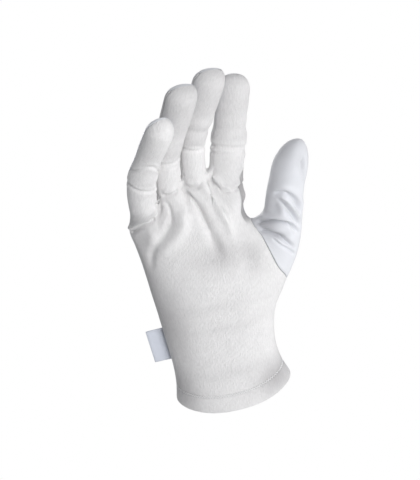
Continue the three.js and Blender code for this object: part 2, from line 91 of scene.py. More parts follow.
# The hand's half widths to the outer and thumb side and its front and back depths, as shares of the
# sizes above, for shares of its height.
BODY_SECTIONS = np.array([
    (0.0, 1.05, 1.08, 1.56, 1.72),
    (0.08, 0.985, 0.97, 1.42, 1.6),
    (0.17, 0.96, 0.93, 1.34, 1.52),
    (0.27, 0.975, 0.98, 1.36, 1.5),
    (0.35, 0.985, 1.09, 1.42, 1.5),
    (0.43, 0.995, 1.3, 1.44, 1.46),
    (0.5, 1.01, 1.45, 1.42, 1.38),
    (0.585, 1.025, 1.5, 1.3, 1.26),
    (0.67, 1.045, 1.26, 1.16, 1.16),
    (0.74, 1.075, 0.95, 1.06, 1.08),
    (0.8, 1.105, 0.9, 1.0, 1.04),
    (1.0, 1.0, 1.0, 0.85, 0.95),
])
# For shares of a finger's length, the same of its width, front and back.
FINGER_SECTIONS = np.array([
    (0.0, 1.0, 1.0, 1.0),
    (0.08, 1.0, 1.04, 0.99),
    (0.17, 1.0, 1.06, 0.99),
    (0.235, 0.97, 0.96, 1.03),
    (0.29, 0.99, 1.0, 1.06),
    (0.36, 1.0, 1.0, 1.02),
    (0.46, 0.98, 0.98, 0.97),
    (0.56, 0.98, 0.94, 0.97),
    (0.66, 1.02, 1.0, 0.96),
    (0.76, 1.03, 1.04, 0.92),
    (0.86, 1.04, 1.0, 0.86),
    (1.0, 1.0, 0.9, 0.8),
])
THUMB_SECTIONS = np.array([
    (0.0, 1.05, 1.0, 1.0),
    (0.14, 1.02, 0.97, 0.98),
    (0.28, 0.99, 0.95, 0.96),
    (0.42, 0.95, 0.97, 0.93),
    (0.56, 0.94, 1.0, 0.9),
    (0.7, 0.93, 1.0, 0.88),
    (1.0, 0.88, 0.9, 0.8),
])

FOLD_SCALE = 1.5
FOLD_PUFF = 2.6, 1.9   # how far beside a fold its puff lies and how wide it is, in the fold's half widths
CREASE_PUFF = 2.4, 1.7
WEB_CALM = 5.5         # folds and mounds die out this near to the web of two fingers
# Folds of the palm side: name, depth (a ridge where it is under 0), half width on the right and on the
# left of its run, the puff of cloth beside it (on the right where it is over 0), the stretch over which
# each end dies out, and the points (x, z) that it runs through.
FOLDS = [
    ("ring to palm", 1.9, 1.7, 0.9, 0, (3, 24),
     [(-4, 165), (-1, 161), (1, 158), (4.5, 152.5), (7.2, 146), (8.6, 137), (10.4, 127.5),
      (12.5, 118)]),
    ("ring to palm valley", 1.7, 3.8, 2.8, 0, (14, 16),
     [(1, 160), (5.5, 150), (8.2, 138), (10.5, 127), (13, 116), (14, 108)]),
    ("ridge beside it", -1.9, 2.4, 3.2, 0, (9, 26),
     [(7.5, 169), (11, 163), (14.3, 155.5), (18.5, 148), (22.5, 134), (25, 115)]),
    ("index to palm", 1.2, 0.9, 1.3, 0, (8, 7),
     [(17.2, 151.5), (20, 145.5), (22.3, 139.5), (24.5, 132.5)]),
    ("index root", 1.6, 1.1, 1.0, -1.2, (4, 5),
     [(14.8, 170.7), (16.5, 166), (19.3, 162.5), (21.8, 159), (24, 156), (28, 154.3), (31.5, 154)]),
    ("index root second", 1.1, 1.2, 0.9, -0.8, (4, 3),
     [(29.5, 153.5), (34, 154.2), (39.2, 155.5), (43, 157.5)]),
    ("little to palm", 1.4, 1.3, 1.4, 0, (6, 14),
     [(-18, 159), (-16.6, 157.3), (-15.4, 155), (-14.6, 151), (-15.4, 144), (-18, 137)]),
    ("outer palm", 1.6, 2.6, 3.0, 0, (14, 14),
     [(-15, 151), (-16.6, 144), (-21, 137), (-27, 132), (-32.5, 126.5), (-36.5, 119), (-38, 108)]),
    ("mound beside it", -2.1, 5.0, 4.2, 0, (12, 14),
     [(-5, 156), (-6.5, 147), (-9, 138), (-15.5, 131), (-23.5, 126), (-30, 118)]),
    ("little root", 2.0, 0.9, 2.0, 1.5, (3, 1),
     [(-21, 158), (-22.5, 154.5), (-24.5, 150.5), (-30, 147), (-37.5, 144.7), (-43, 142),
      (-47, 140.5)]),
    ("ring root", 1.5, 1.8, 1.0, -1.2, (3, 3),
     [(-18.6, 165.5), (-16.3, 163), (-12.8, 162.2), (-9, 162.6), (-5.6, 165)]),
    ("middle root", 1.5, 1.8, 1.0, -1.2, (3, 3),
     [(-1.6, 167.3), (1.5, 164), (5.1, 163.2), (8.5, 163.5), (11.8, 165.6)]),
    ("index side", 0.9, 1.0, 0.8, -0.5, (8, 5),
     [(41.5, 174), (39.6, 163), (38, 152), (37.6, 142), (40.5, 131)]),
    ("thumb web", 2.6, 1.6, 1.0, -1.2, (4, 9),
     [(42, 126.5), (50.3, 127.5), (58, 126.7), (65, 123.3), (69.6, 117), (72, 110.5)]),
    ("thumb web hollow", 2.7, 1.9, 1.5, -0.6, (4, 10),
     [(43, 123.5), (47.7, 120.8), (51.6, 118.5), (56.5, 115.6), (60, 111), (63.7, 105.5), (66.5, 100)]),
    ("thumb ball upper", 1.1, 0.9, 0.9, -0.3, (5, 7),
     [(51, 115.5), (55.5, 109.5), (60, 104.7), (64, 100)]),
    ("thumb ball lower", 1.2, 0.9, 0.8, -0.4, (4, 4),
     [(57, 108), (60.5, 104.7), (63, 102), (66, 96.5)]),
    ("thumb joint upper", 1.7, 1.7, 1.2, -0.8, (6, 9),
     [(57, 145.5), (62.4, 147.6), (66.7, 146.6), (70.7, 142.4), (73.2, 137.8), (74.3, 133.8),
      (75, 125)]),
    ("thumb joint ridge", -1.5, 1.5, 1.5, 0, (6, 8),
     [(61, 145), (66, 141.5), (69.3, 136), (71.7, 128), (73.5, 119)]),
    ("thumb joint lower", 1.8, 1.8, 1.4, 0.5, (6, 9),
     [(59.5, 143.5), (62.7, 140.2), (65.5, 134.7), (69, 127.5), (71.8, 119), (73, 113)]),
    ("thumb outer nick", 1.5, 1.2, 1.4, 0, (3, 4),
     [(82.6, 169.5), (81.2, 164), (81.2, 156)]),
]
# Broad rises and hollows of the palm side: name, x, z, height and the half sizes across and along.
MOUNDS = [
    ("palm hollow", 8, 111, -1.9, 20, 9),
    ("thumb side hollow", 31, 106, -1.4, 8, 10),
    ("index puff", 29, 144.5, 2.2, 6, 6.5),
    ("outer puff", -31, 134, 1.8, 5, 8),
    ("little root puff", -31, 153, 0.9, 7, 5),
    ("heel", -4, 92, 0.9, 26, 8),
    ("wrist hollow", -6, 52, -0.8, 28, 12),
    ("index side bulge", 42, 147, 2.6, 5, 4),
    ("index side notch", 41, 137, -2.6, 5, 3.5),
    ("thumb pocket", 58.5, 137, -1.9, 4, 4.5),
]
# Creases across a finger: the share of the length where each lies in the middle, how it slopes
# and bows round the finger, its depth and half width and the puffs of cloth above and below.
CREASES = [
    ("little", 0.555, 0.014, -0.13, 0.9, 1.1, 0.4, 0.5),
    ("little", 0.235, -0.04, 0, 1.1, 1.1, 0.5, 0.6),
    ("little", 0.35, 0, 0, -0.5, 3.5, 0, 0),
    ("ring", 0.27, 0.02, 0, 1.0, 1.1, 0.3, 0.4),
    ("ring", 0.33, 0, 0, 0.5, 2.6, 0.1, 0),
    ("middle", 0.242, 0, 0, 0.9, 1.0, 0.3, 0.25),
    ("middle", 0.297, 0, -0.05, 0.6, 1.1, 0.2, 0.2),
    ("middle", 0.445, 0, 0, 0.7, 2.4, 0.7, 0.2),
    ("index", 0.172, 0.025, 0, 0.9, 1.2, 0.3, 0.35),
    ("index", 0.235, 0, 0, 1.1, 1.2, 0.4, 0.3),
    ("index", 0.44, 0.01, 0, 0.6, 2.4, 0.4, 0.7),
]

# Painted shade, where the cloth lies in hollows and creases or on sides turned from the light: name,
# place, x, z, how grey and the half sizes across and along.
PAINTED_SHADES = [
    ("palm hollow", "hand", 10, 111, 0.3, 24, 9),
    ("valley below the ring finger", "hand", 13, 119, 0.24, 4.5, 9),
    ("heel of the thumb", "hand", 36, 106, 0.14, 10, 14),
    ("outer wrist", "hand", -33, 64, 0.46, 12, 30),
    ("outer hem", "hand", -36, 12, 0.5, 10, 18),
    ("thumb side of the hem", "hand", 34, 8, 0.66, 15, 12),
    ("wrist band", "hand", 2, 76, 0.1, 26, 4),
    ("second wrist band", "hand", 10, 58, 0.1, 24, 4),
    ("above the hem", "hand", 6, 22, 0.12, 26, 5),
    ("outer edge", "hand", -43, 112, 0.4, 9, 40),
    ("thumb crotch", "thumb", 49, 124, 0.34, 8, 4),
    ("thumb web hollow", "thumb", 58, 115.5, 0.3, 6, 3),
    ("thumb pocket", "thumb", 58, 137, 0.22, 5, 5),
    ("thumb outer edge", "thumb", 81, 161, 0.26, 2.6, 8),
    ("thumb joint fold", "thumb", 73, 133, 0.16, 3, 9),
]
STRIP_SHADE = 0.75      # painted shade on the strip of back cloth that shows beside the index finger
STRIP_DEPTH = 0.8
STRIP_WIDTH = 5.0
STRIP_TOP = 180.0
PAD_SHADE = 0.18        # painted shade on the ring, middle and index fingers above their first crease
TIP_SHADE = 0.05        # more painted shade, added again at the fingertip
THUMB_SIDE_SHADE = 0.2       # painted shade on the side of the thumb that faces the hand, turned from the light
# painted shade towards the thumb's tip
THUMB_TIP_SHADE = 0.22
SEAM_SHADE = 0.42       # painted shade along a seam of the hand, where the cloth rolls in
TIP_SEAM_SHADE = 0.65   # the same painted shade along a seam at a fingertip
HEM_STITCH_SHADE = 0.3         # painted shade along the hem's stitch line, where the stitches pull the cloth in
SHADE_GREY = 0.42, 0.41, 0.42, 1   # what full painted shade multiplies the cloth's colour by

# How finely the cloth is divided
FRONT_COLUMNS = 34
BACK_COLUMNS = 20
SIDE_COLUMNS = 8
WEB_COLUMNS = 4
HEM_ROWS = 24
CUFF_ROWS = 44
HOLE_ROWS = 52
KNUCKLE_ROWS = 8
ROOT_ROWS = 46
SHAFT_ROWS = 68
TIP_ROWS = 14
THUMB_ROOT_ROWS = 58
THUMB_SHAFT_ROWS = 50
SPINE_STEPS = 240


def smooth(value, low, high):
    t = np.clip((value - low) / (high - low), 0, 1)
    return t * t * (3 - 2 * t)


def bell(off, wide):
    return np.exp(-(off / wide) ** 2)


def sections(table, place):
    """Every column of a section table at the given places, on one smooth curve through its rows."""
    place = np.asarray(place, float)
    keys = table[:, 0]
    row = np.clip(np.searchsorted(keys, place, side="right") - 1, 0, len(keys) - 2)
    slopes = np.empty_like(table)
    slopes[1:-1] = (table[2:] - table[:-2]) / (keys[2:] - keys[:-2])[:, None]
    slopes[0] = (table[1] - table[0]) / (keys[1] - keys[0])
    slopes[-1] = (table[-1] - table[-2]) / (keys[-1] - keys[-2])
    span = (keys[row + 1] - keys[row])[..., None]
    t = np.clip((place - keys[row])[..., None] / span, 0, 1)
    value = ((2 * t**3 - 3 * t**2 + 1) * table[row] + (t**3 - 2 * t**2 + t) * span * slopes[row]
             + (3 * t**2 - 2 * t**3) * table[row + 1] + (t**3 - t**2) * span * slopes[row + 1])
    return np.moveaxis(value, -1, 0)[1:]


def unit(vectors):
    return vectors / np.maximum(np.linalg.norm(vectors, axis=-1, keepdims=True), 1e-9)


def join(start, leaving, end, arriving, t):
    """Points between two ends, that leave and reach them along the given ways."""
    reach = np.linalg.norm(end - start, axis=-1, keepdims=True)
    return (start * (2 * t**3 - 3 * t**2 + 1) + leaving * reach * (t**3 - 2 * t**2 + t)
            + end * (3 * t**2 - 2 * t**3) + arriving * reach * (t**3 - t**2))


# Fingers
half_width = BODY_WIDTH / 2


def spine_of(finger, root):
    share = np.arange(SPINE_STEPS + 1) / SPINE_STEPS
    bend = np.radians(finger["root"] + finger["middle"] * smooth(share, 0.16, 0.36)
                      + finger["tip"] * smooth(share, 0.5, 0.7))
    more = finger["lean"] - finger["lean_root"]
    lean = np.radians(finger["lean_root"] + more * smooth(share, -0.05, 0.5))
    along = np.stack([np.sin(lean), -np.sin(bend) * np.cos(lean), np.cos(bend) * np.cos(lean)], -1)
    side = unit(np.array([1.0, 0, 0]) - along * along[:, :1])
    pad = np.cross(side, along)
    step = along * finger["length"] / SPINE_STEPS
    place = root + np.concatenate([[np.zeros(3)], np.cumsum(step, 0)[:-1]])
    return dict(share=share, place=place, along=along, side=side, pad=pad)


def tip_start_of(finger):
    return 1 - finger["taper"] * finger["width"] / finger["length"]


def finger_skin(finger, share, turn):
    share, turn = np.broadcast_arrays(np.asarray(share, float), np.asarray(turn, float))
    tip_start = tip_start_of(finger)
    width, front, back = sections(finger["sections"], share)
    past = np.maximum(0, (share - tip_start) / (1 - tip_start))
    taper = np.maximum(0, 1 - past**finger["square"]) ** (1 / finger["square"])
    spine = finger["spine"]
    mix = [np.stack([np.interp(share, spine["share"], spine[key][:, i]) for i in range(3)], -1)
           for key in ("place", "along", "side", "pad")]
    place, along, side, pad = mix
    width = width * (finger["width"] + (finger["pad"] - finger["width"]) * smooth(share, 0.25, 0.6))
    across = width / 2 * taper * np.cos(turn) + finger["tip_side"] * (1 - taper)
    deep = finger["depth"] / 2 * np.where(np.sin(turn) > 0, front, back) * taper * np.sin(turn)
    deep -= finger["tip_back"] * (1 - taper)
    slant = finger["slant"] * np.cos(turn) * (1 - smooth(share, 0, 0.3))
    return place + side * across[..., None] + pad * deep[..., None] + along * slant[..., None]


def ring_shares(finger, rows):
    tip_start = tip_start_of(finger)
    tip = tip_start + (1 - tip_start) * np.sin(np.arange(1, TIP_ROWS + 1) / TIP_ROWS * math.pi / 2)
    return np.concatenate([np.linspace(0, tip_start, rows + 1), tip])


def fourchette_turn(finger, share):
    tip_start = tip_start_of(finger)
    end = tip_start + (1 - tip_start) * 0.7
    return np.where(share >= end, 0, FOURCHETTE_SPAN * (1 - 0.78 * np.minimum(share / end, 1)))


edge = -half_width
for number, finger in enumerate(FINGERS):
    outer_drop = FINGERS[number - 1]["web"] if number else LITTLE_SIDE_DROP
    root_height = BODY_HEIGHT - (outer_drop + finger["web"]) / 2
    finger["sections"] = FINGER_SECTIONS
    finger["slant"] = (outer_drop - finger["web"]) / 2
    finger["outer_seam"] = number == 0
    finger["thumb_seam"] = number == len(FINGERS) - 1
    finger["number"] = number
    finger["spine"] = spine_of(finger, np.array([edge + finger["width"] / 2, -finger["set"], root_height]))
    edge += finger["width"] + finger["gap"]
THUMB["sections"] = THUMB_SECTIONS
THUMB["spine"] = spine_of(THUMB, np.array([THUMB_ROOT_OUT, -THUMB["set"], THUMB_ROOT_HEIGHT]))


def body_skin(height, turn, inset=0.0):
    """The hand body at a height and a turn: pi is the outer side, 0 the thumb side, above 0 the palm."""
    height, turn = np.broadcast_arrays(np.asarray(height, float), np.asarray(turn, float))
    outer, thumb, front, back = sections(BODY_SECTIONS, height / BODY_HEIGHT)

    def outline(angle):
        c, s = np.cos(angle), np.sin(angle)
        c, s = (np.sign(v) * np.abs(v) ** SQUARENESS for v in (c, s))
        return np.stack([c * half_width * np.where(c < 0, outer, thumb),
                         -s * np.where(s > 0, PALM_FRONT * front, PALM_BACK * back)], -1)

    flat = outline(turn)
    if np.any(inset):
        run = outline(turn + 0.01) - outline(turn - 0.01)
        outward = unit(np.stack([-run[..., 1], run[..., 0]], -1))
        outward *= np.sign(np.sum(outward * flat, -1, keepdims=True))
        flat = flat - outward * np.asarray(inset)[..., None]
    droop = HEM_DROOP * np.sin(turn) ** 2 * (1 - smooth(height, 0, DROOP_REACH))
    return np.concatenate([flat, (height - droop)[..., None]], -1)


def hole_turn(height):
    share = (height - THUMB_HOLE_LOW) / (THUMB_HOLE_HIGH - THUMB_HOLE_LOW)
    inside = (share > 0) & (share < 1)
    share = np.clip(share, 0, 1)
    power = HOLE_FOOT + (HOLE_TOP - HOLE_FOOT) * share
    return np.where(inside, THUMB_HOLE_SPAN * np.sin(math.pi * share) ** power, 0)


# Rows beside the thumb hole are evenly spaced along its edge, and level further out on the hand.
eased = (1 - np.cos(math.pi * np.linspace(0, 1, 2001))) / 2
fine_heights = THUMB_HOLE_LOW + (THUMB_HOLE_HIGH - THUMB_HOLE_LOW) * eased
fine_edge = body_skin(fine_heights, hole_turn(fine_heights))
edge_run = np.concatenate([[0], np.cumsum(np.linalg.norm(np.diff(fine_edge, axis=0), axis=1))])
hole_heights = np.interp(np.linspace(0, edge_run[-1], HOLE_ROWS + 1), edge_run, fine_heights)
hole_heights[0], hole_heights[-1] = THUMB_HOLE_LOW, THUMB_HOLE_HIGH
level_heights = np.linspace(THUMB_HOLE_LOW, THUMB_HOLE_HIGH, HOLE_ROWS + 1)
root_start = BODY_HEIGHT - FINGER_ROOT


def edge_shares(columns):
    """Shares from 0 to 1, closer together at both ends, where the cloth rolls into a seam."""
    middle = np.linspace(0, 1, columns - 1)[1:-1]
    return np.concatenate([[0, 0.014, 0.04], middle[1:-1] if columns > 8 else middle, [0.96, 0.986, 1]])


def web_line(finger, following, turn):
    start = finger_skin(finger, 0, turn)
    end = finger_skin(following, 0, math.pi - turn)
    share = np.linspace(0, 1, WEB_COLUMNS + 1)
    line = start[..., None, :] + (end - start)[..., None, :] * share[:, None]
    line[..., 2] -= WEB_DIP * np.sin(math.pi * share)
    return line


def root_edge(front):
    columns = FRONT_COLUMNS if front else BACK_COLUMNS
    sign = 1 if front else -1
    ends, ways = [], []
    for number, finger in enumerate(FINGERS):
        outer = math.pi - (0 if finger["outer_seam"] else FOURCHETTE_SPAN)
        inner = 0 if finger["thumb_seam"] else FOURCHETTE_SPAN
        turns = sign * (outer + (inner - outer) * edge_shares(columns))
        ends.append(finger_skin(finger, 0, turns))
        count = len(turns)
        if not finger["thumb_seam"]:
            ends.append(web_line(finger, FINGERS[number + 1], sign * FOURCHETTE_SPAN)[1:-1])
            count += WEB_COLUMNS - 1
        ways += [finger["spine"]["along"][0]] * count
    ends, ways = np.concatenate(ends), np.array(ways)
    # Across a web the way eases from one finger's to the next one's.
    x = ends[:, 0]
    weight = np.exp(-((x[:, None] - x) / WAY_REACH) ** 2) * np.gradient(x)
    eased = unit(weight @ ways)
    webs = [web_line(*pair, 0.0)[WEB_COLUMNS // 2, 0] for pair in zip(FINGERS, FINGERS[1:])]
    close = np.max([np.exp(-((x - web) / (2 * WAY_REACH)) ** 2) for web in webs], 0)
    return ends, unit(ways + (eased - ways) * np.clip(1.15 * close - 0.15, 0, 1)[:, None])


def column_turns(ends):
    return np.arccos(np.clip(1 - 2 * (ends[-1, 0] - ends[:, 0]) / (ends[-1, 0] - ends[0, 0]), -1, 1))


def hole_row(edge_height, level_height, turns, sign):
    hole = hole_turn(edge_height)
    height = edge_height + (level_height - edge_height) * smooth(turns / math.pi, 0, 0.45)
    return body_skin(height, sign * (hole + (math.pi - hole) * turns / math.pi))


def root_rows(ends, ways, turns, sign):
    below, at = body_skin(root_start - 1, sign * turns), body_skin(root_start, sign * turns)
    leaving = unit(at - below)
    return [join(at, leaving, ends, ways, t) for t in (np.arange(ROOT_ROWS) + 1) / ROOT_ROWS]


# Every stretch of cloth is a grid of points; pieces that share a seam share its points.
patches = []


def lay(piece, grid, finger=-1, share=0.0, turn=math.pi / 2, flip=False, cloth=None, level=BODY_HEIGHT):
    grid = np.asarray(grid)
    level, share, turn = (np.broadcast_to(np.asarray(a, float), grid.shape[:2])
                          for a in (level, share, turn))
    if cloth is None:
        cloth = flat_pattern(grid)
    if flip:
        grid, share, turn, cloth, level = (a[:, ::-1] for a in (grid, share, turn, cloth, level))
    patches.append(dict(piece=piece, grid=grid, cloth=cloth, finger=np.full(grid.shape[:2], finger),
                        share=share, turn=turn, level=level))


def flat_pattern(grid, start=(0.0, 0.0)):
    """Where each point lies in the uncut cloth: across the wales, and along them."""
    across = np.zeros(grid.shape[:2])
    across[:, 1:] = np.cumsum(np.linalg.norm(np.diff(grid, axis=1), axis=-1), 1)
    middle = grid.shape[1] // 2
    across -= across[:, middle:middle + 1]
    along = np.zeros(grid.shape[:2])
    along[1:] = np.cumsum(np.linalg.norm(np.diff(grid, axis=0), axis=-1), 0)
    along = np.broadcast_to(along[:, middle:middle + 1], along.shape)
    return np.stack([across + start[0], along + start[1]], -1)


def body_pattern(grid):
    """The same for a panel of the hand, whose wales run straight up from its middle."""
    across = np.zeros(grid.shape[:2])
    across[:, 1:] = np.cumsum(np.linalg.norm(np.diff(grid, axis=1), axis=-1), 1)
    middle = np.array([np.interp(0, row[:, 0], run) for row, run in zip(grid, across)])
    return np.stack([across - middle[:, None], grid[..., 2]], -1)


front_ends, front_ways = root_edge(True)
back_ends, back_ways = root_edge(False)
front_turns, back_turns = column_turns(front_ends), column_turns(back_ends)

roll = np.linspace(math.pi, 0, 9)
roll_rows = [(HEM_ROLL * (1 - math.sin(a)), HEM_ROLL * (1 - math.cos(a))) for a in roll]
rise = np.concatenate([np.linspace(HEM_ROLL, HEM_HEIGHT + 4, HEM_ROWS + 1)[1:],
                       np.linspace(HEM_HEIGHT + 4, THUMB_HOLE_LOW, CUFF_ROWS + 1)[1:]])
knuckles = np.linspace(THUMB_HOLE_HIGH, root_start, KNUCKLE_ROWS + 1)[1:]


def body_sheet(ends, ways, turns, sign):
    rows = [body_skin(height, sign * turns, inset) for height, inset in roll_rows]
    rows += [body_skin(height, sign * turns) for height in rise]
    rows += [hole_row(*heights, turns, sign) for heights in zip(hole_heights[1:], level_heights[1:])]
    rows += [body_skin(height, sign * turns) for height in knuckles]
    return np.array(rows + root_rows(ends, ways, turns, sign))


front_sheet = body_sheet(front_ends, front_ways, front_turns, 1)
back_sheet = body_sheet(back_ends, back_ways, back_turns, -1)
front_cloth, back_cloth = body_pattern(front_sheet), body_pattern(back_sheet)
body_levels = np.full((len(front_sheet), 1), BODY_HEIGHT)
body_levels[:len(roll) + len(rise), 0] = np.concatenate([[height for height, _ in roll_rows], rise])
lay("palm_panel", front_sheet, turn=front_turns, cloth=front_cloth, level=body_levels)
lay("back_panel", back_sheet, turn=-back_turns, flip=True, cloth=back_cloth, level=body_levels)

front_start = back_start = 0
for finger in FINGERS:
    shares = ring_shares(finger, SHAFT_ROWS)[:, None]
    side = fourchette_turn(finger, shares)
    outer = 0 if finger["outer_seam"] else side
    inner = 0 if finger["thumb_seam"] else side
    number = finger["number"]

    turns = math.pi - outer + (inner - math.pi + outer) * edge_shares(FRONT_COLUMNS)
    grid = finger_skin(finger, shares, turns)
    count = grid.shape[1]
    start = front_cloth[-1, front_start + count // 2]
    lay("palm_panel", grid, number, shares, turns, cloth=flat_pattern(grid, start))
    front_start += count + WEB_COLUMNS - 1

    turns = -(math.pi - outer + (inner - math.pi + outer) * edge_shares(BACK_COLUMNS))
    grid = finger_skin(finger, shares, turns)
    count = grid.shape[1]
    start = back_cloth[-1, back_start + count // 2]
    lay("back_panel", grid, number, shares, turns, flip=True, cloth=flat_pattern(grid, start))
    back_start += count + WEB_COLUMNS - 1

    if not finger["thumb_seam"]:
        turns = side * (1 - 2 * np.linspace(0, 1, SIDE_COLUMNS + 1))
        lay("fourchette_" + finger["name"], finger_skin(finger, shares, turns), number, shares, turns)
        lines = np.array([web_line(finger, FINGERS[number + 1], t)
                          for t in FOURCHETTE_SPAN * (2 * np.linspace(0, 1, SIDE_COLUMNS + 1) - 1)])
        lay("fourchette_" + finger["name"], np.swapaxes(lines, 0, 1))
    if not finger["outer_seam"]:
        turns = math.pi + side * (1 - 2 * np.linspace(0, 1, SIDE_COLUMNS + 1))
        lay("fourchette_" + FINGERS[number - 1]["name"], finger_skin(finger, shares, turns), number,
            shares, turns)

# Thumb, from the edge of its hole to its tip
thumb_turns = np.concatenate([math.pi * (1 - np.arange(HOLE_ROWS + 1) / HOLE_ROWS),
                              -math.pi * (np.arange(HOLE_ROWS) + 1) / HOLE_ROWS])
thumb_heights = hole_heights[np.abs(HOLE_ROWS - np.arange(2 * HOLE_ROWS + 1))]
thumb_base = body_skin(thumb_heights, np.where(thumb_turns >= 0, 1, -1) * hole_turn(thumb_heights))
c, s = np.cos(thumb_turns), np.sin(thumb_turns)
thumb_leaving = np.stack([0.8 + 0.1 * c, 0.15 * s, 0.45 + 0.75 * c], -1)
thumb_ring = finger_skin(THUMB, 0, thumb_turns)
thumb_rows = [join(thumb_base, thumb_leaving, thumb_ring, THUMB["spine"]["along"][0], t)
              for t in np.arange(THUMB_ROOT_ROWS) / THUMB_ROOT_ROWS]
thumb_shares = ring_shares(THUMB, THUMB_SHAFT_ROWS)
thumb_rows += [finger_skin(THUMB, share, thumb_turns) for share in thumb_shares]
lay("thumb", thumb_rows, THUMB["number"],
    np.concatenate([np.zeros(THUMB_ROOT_ROWS), thumb_shares])[:, None], thumb_turns[None])


def corners(grid):
    """The corners of every cell of a grid, in order round the cell."""
    around = np.stack([grid[:-1, :-1], grid[:-1, 1:], grid[1:, 1:], grid[1:, :-1]], 2)
    return around.reshape(-1, 4, *grid.shape[2:])


# Points that two patches share become one.
loose = np.concatenate([p["grid"].reshape(-1, 3) for p in patches])
_, first, merged = np.unique(np.round(loose / SAME_POINT).astype(np.int64), axis=0,
                             return_index=True, return_inverse=True)
merged = merged.reshape(-1)
skin = loose[first]
skin_finger, skin_share, skin_turn, skin_level = (
    np.concatenate([p[key].ravel() for p in patches])[first]
    for key in ("finger", "share", "turn", "level"))
start = 0
for p in patches:
    size = p["share"].size
    p["quads"] = corners(merged[start:start + size].reshape(p["share"].shape))
    p["quad_cloth"] = corners(p["cloth"])
    start += size


def normals_of(points):
    normals = np.zeros_like(points)
    quads = np.concatenate([p["quads"] for p in patches])
    a, b, c, d = (points[quads[:, i]] for i in range(4))
    face = np.cross(c - a, d - b)
    for i in range(4):
        np.add.at(normals, quads[:, i], face)
    return unit(normals)


def smooth_path(path, step=0.8):
    """A smooth run through the given points, as many short straight steps."""
    path = np.asarray(path, float)
    padded = np.concatenate([[2 * path[0] - path[1]], path, [2 * path[-1] - path[-2]]])
    run = []
    for i in range(1, len(padded) - 2):
        p0, p1, p2, p3 = padded[i - 1:i + 3]
        count = max(2, int(np.linalg.norm(p2 - p1) / step))
        t = np.linspace(0, 1, count, endpoint=False)[:, None]
        run.append(0.5 * (2 * p1 + (p2 - p0) * t + (2 * p0 - 5 * p1 + 4 * p2 - p3) * t**2
                          + (3 * p1 - p0 - 3 * p2 + p3) * t**3))
    return np.concatenate(run + [path[-1:]])


def from_path(points, path):
    """The signed distance of points from a path, over 0 to its right, and how far along it they lie."""
    run = smooth_path(path)
    starts, steps = run[:-1], np.diff(run, axis=0)
    lengths = np.linalg.norm(steps, axis=1)
    along = np.concatenate([[0], np.cumsum(lengths)])
    away = points[:, None] - starts[None]
    t = np.clip(np.sum(away * steps, -1) / lengths**2, 0, 1)
    off = away - t[..., None] * steps
    distance = np.linalg.norm(off, axis=-1)
    nearest = np.argmin(distance, 1)
    pick = np.arange(len(points)), nearest
    cross = steps[nearest, 1] * away[pick][:, 0] - steps[nearest, 0] * away[pick][:, 1]
    signed = distance[pick] * np.where(cross >= 0, 1, -1)
    return signed, along[nearest] + t[pick] * lengths[nearest], along[-1]


def spot(points, x, z, across, along):
    return np.exp(-(((points[:, 0] - x) / across) ** 2 + ((points[:, 2] - z) / along) ** 2))


def fold_relief(points, normals):
    """How far the palm side's folds and mounds lift the cloth."""
    lift = np.zeros(len(points))
    flat = points[:, [0, 2]]
    facing = np.clip(0.3 - normals[:, 1] * 1.3, 0, 1)
    for _, x, z, rise, across, along in MOUNDS:
        lift += rise * spot(points, x, z, across, along) * facing
    for _, deep, right, left, puff, fade, path in FOLDS:
        room = 4 * max(right, left) + 4
        near = np.all((flat > np.min(path, 0) - room) & (flat < np.max(path, 0) + room), 1) & (facing > 0)
        if not near.any():
            continue
        off, along, total = from_path(flat[near], path)
        ends = smooth(along, 0, fade[0]) * (1 - smooth(along, total - fade[1], total))
        beside = right if puff > 0 else left
        aside, spread = (beside * share for share in FOLD_PUFF)
        line = -deep * bell(off, np.where(off > 0, right, left))
        line += abs(puff) * bell(off * np.sign(puff) - aside, spread)
        lift[near] += line * ends * facing[near]
    webs = np.concatenate([web_line(finger, following, FOURCHETTE_SPAN)
                           for finger, following in zip(FINGERS, FINGERS[1:])])
    from_web = np.min(np.linalg.norm(points[:, None] - webs[None], axis=-1), 1)
    return lift * smooth(from_web, WEB_CALM / 4, WEB_CALM)


def crease_relief(share, turn, finger):
    lift = np.zeros(len(share))
    for name, at, slope, bow, deep, wide, above, below in CREASES:
        owner = next(f for f in FINGERS if f["name"] == name)
        on = finger == owner["number"]
        c = np.cos(turn[on])
        off = (share[on] - at - slope * c - bow * c**2) * owner["length"]
        aside, spread = (wide * share_of for share_of in CREASE_PUFF)
        line = above * bell(off - aside, spread) + below * bell(off + aside, spread)
        line -= deep * bell(off, wide)
        lift[on] += line * smooth(np.sin(turn[on]), -0.35, 0.25)
    return lift


normals = normals_of(skin)
lift = FOLD_SCALE * fold_relief(skin, normals) * (skin[:, 2] >= HEM_HEIGHT)
lift += crease_relief(skin_share, skin_turn, skin_finger)
stitch_line = bell(skin_level - HEM_HEIGHT + STITCH_DROP, 0.9)
lift -= HEM_GROOVE * stitch_line
on_hand, on_thumb = skin_finger < 0, skin_finger == THUMB["number"]
height = skin[:, 2]
from_edge = np.where(on_hand, half_width, FINGERS[-1]["width"] / 2) * (1 - np.cos(skin_turn))
strip_width = STRIP_WIDTH * (1 - 0.9 * smooth(height, 140, STRIP_TOP))
strip = 1 - smooth(from_edge / strip_width, 0.75, 1.1)
strip *= smooth(height, THUMB_HOLE_HIGH - 2, THUMB_HOLE_HIGH + 4) * (1 - smooth(height, 166, STRIP_TOP))
strip *= on_hand | (skin_finger == FINGERS[-1]["number"])
lift -= STRIP_DEPTH * strip
skin = skin + normals * lift[:, None]
normals = normals_of(skin)
